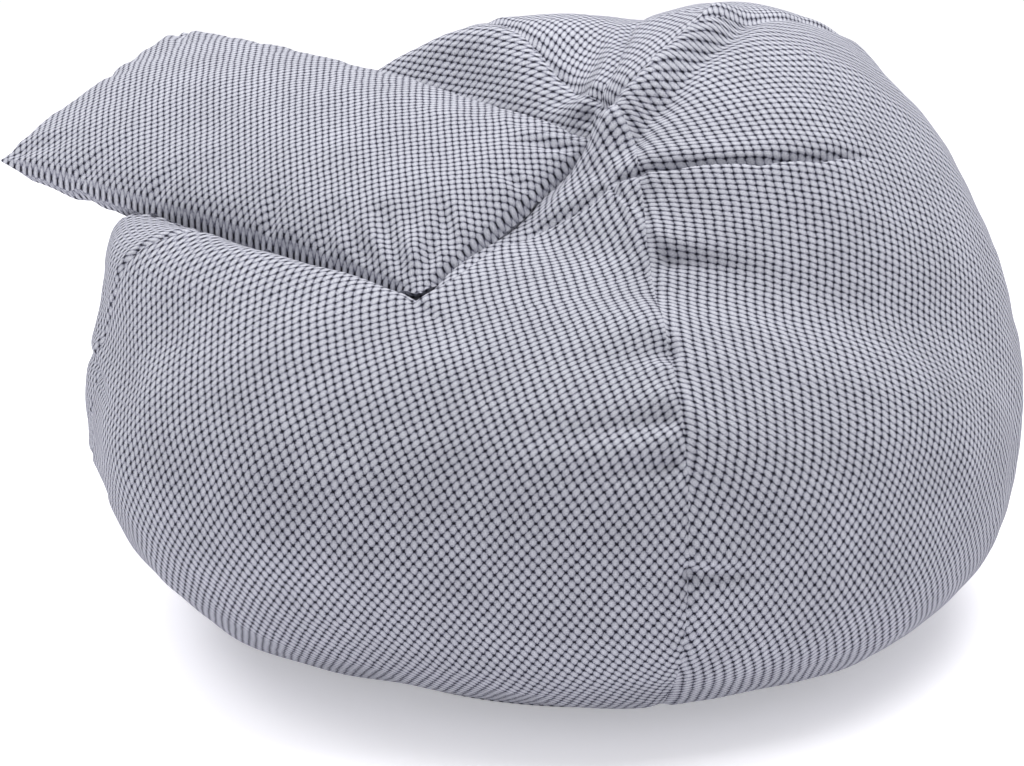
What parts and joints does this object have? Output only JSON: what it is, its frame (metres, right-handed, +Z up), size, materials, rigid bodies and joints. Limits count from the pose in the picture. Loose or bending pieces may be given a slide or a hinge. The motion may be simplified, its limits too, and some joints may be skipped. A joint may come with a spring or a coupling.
{
  "type": "bean bag chair",
  "caption": "Low round bean bag chair with a high backrest fold, a hollowed seat, gored fabric cover, zipped liner of beads and a loose lumbar pillow.",
  "frame": {"origin": "centre of the round base on the floor", "axes": "+Z up; the seat faces -Y, with the tall backrest fold behind it at +Y; the pillow lies along X"},
  "size_m": [1.0378, 1.0065, 0.6117],
  "materials": {
    "cover_fabric": "chunky waffle-textured woven upholstery cloth, soft, pale lavender grey",
    "liner_cloth": "plain tight-woven white lining cloth",
    "beads": "small round expanded polystyrene beads",
    "zip_tape": "grey woven polyester tape",
    "zip_coil": "grey nylon coil",
    "zip_metal": "die-cast slider and crimped stops, dull nickel",
    "pillow_ticking": "plain white cotton ticking",
    "fibre": "lofted white polyester fibre"
  },
  "bodies": {
    "bag": {"cover_panel_right": "cover_fabric", "cover_panel_back": "cover_fabric", "cover_panel_left": "cover_fabric", "cover_panel_front": "cover_fabric", "liner_side_rear": "liner_cloth", "liner_side_front": "liner_cloth", "base_panel_rear": "cover_fabric", "base_panel_front": "cover_fabric", "liner_base": "liner_cloth", "bead_fill": "beads", "base_zip_tape_a": "zip_tape", "base_zip_tape_b": "zip_tape", "base_zip_coil": "zip_coil", "base_zip_top_stop": "zip_metal", "base_zip_end_stop": "zip_metal", "liner_zip_tape_a": "zip_tape", "liner_zip_tape_b": "zip_tape", "liner_zip_coil": "zip_coil", "liner_zip_top_stop": "zip_metal", "liner_zip_end_stop": "zip_metal"},
    "base_zip_slider": {"base_zip_slider": "zip_metal"},
    "liner_zip_slider": {"liner_zip_slider": "zip_metal"},
    "pillow": {"pillow_cover_front": "cover_fabric", "pillow_cover_back": "cover_fabric", "pillow_case_front": "pillow_ticking", "pillow_case_back": "pillow_ticking", "pillow_fibre_fill": "fibre", "pillow_zip_tape_a": "zip_tape", "pillow_zip_tape_b": "zip_tape", "pillow_zip_coil": "zip_coil", "pillow_zip_top_stop": "zip_metal", "pillow_zip_end_stop": "zip_metal"},
    "pillow_zip_slider": {"pillow_zip_slider": "zip_metal"}
  },
  "joints": [
    {"name": "pillow_lift_off", "type": "slide", "parent": "bag", "child": "pillow", "axis": [0.0732, -0.3362, 0.9389], "range_m": [0, 0.35]},
    {"name": "base_zip_slide", "type": "slide", "parent": "bag", "child": "base_zip_slider", "axis": [-1, 0, 0], "range_m": [0, 0.49]},
    {"name": "liner_zip_slide", "type": "slide", "parent": "bag", "child": "liner_zip_slider", "axis": [-1, 0, 0], "range_m": [0, 0.45]},
    {"name": "pillow_zip_slide", "type": "slide", "parent": "pillow", "child": "pillow_zip_slider", "axis": [-0.9973, -0.0247, 0.069], "range_m": [0, 0.35]}
  ]
}
